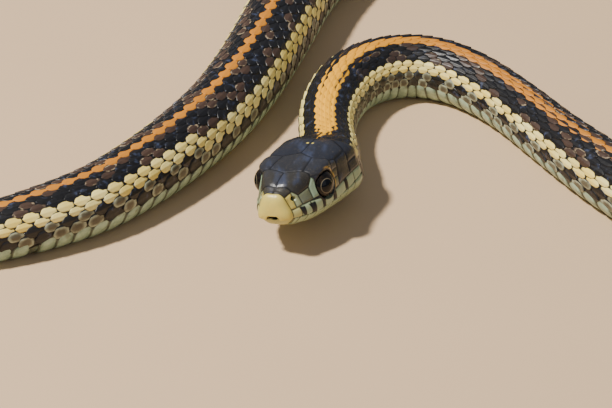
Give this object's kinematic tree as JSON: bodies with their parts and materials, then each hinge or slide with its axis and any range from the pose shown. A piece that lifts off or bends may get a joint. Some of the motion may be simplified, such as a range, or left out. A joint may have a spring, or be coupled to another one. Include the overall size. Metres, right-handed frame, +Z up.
{
  "type": "garter snake",
  "caption": "Life-size still garter snake resting in a loop with its head a little raised, striped back and scaled belly.",
  "frame": {"origin": "middle of the resting shape, on the floor that the belly lies on", "axes": "+X along the longest extent, from the tail's side to the loop's side, +Y away from the viewer of the picture, +Z up"},
  "size_m": [0.2427, 0.1012, 0.0104],
  "materials": {
    "head_skin": "smooth dark shields with a soft gloss",
    "body_skin": "keeled scales, dark with orange and cream stripes",
    "eye": "glossy dark eye with a thin pale ring"
  },
  "bodies": {
    "root": {"head": "head_skin", "lower_jaw": "head_skin", "eye_left": "eye", "eye_right": "eye", "neck": "body_skin", "body_1": "body_skin", "body_2": "body_skin", "body_3": "body_skin", "body_4": "body_skin", "body_5": "body_skin", "body_6": "body_skin", "body_7": "body_skin", "body_8": "body_skin", "body_9": "body_skin", "tail_1": "body_skin", "tail_2": "body_skin", "tail_3": "body_skin", "tail_4": "body_skin"}
  },
  "joints": []
}
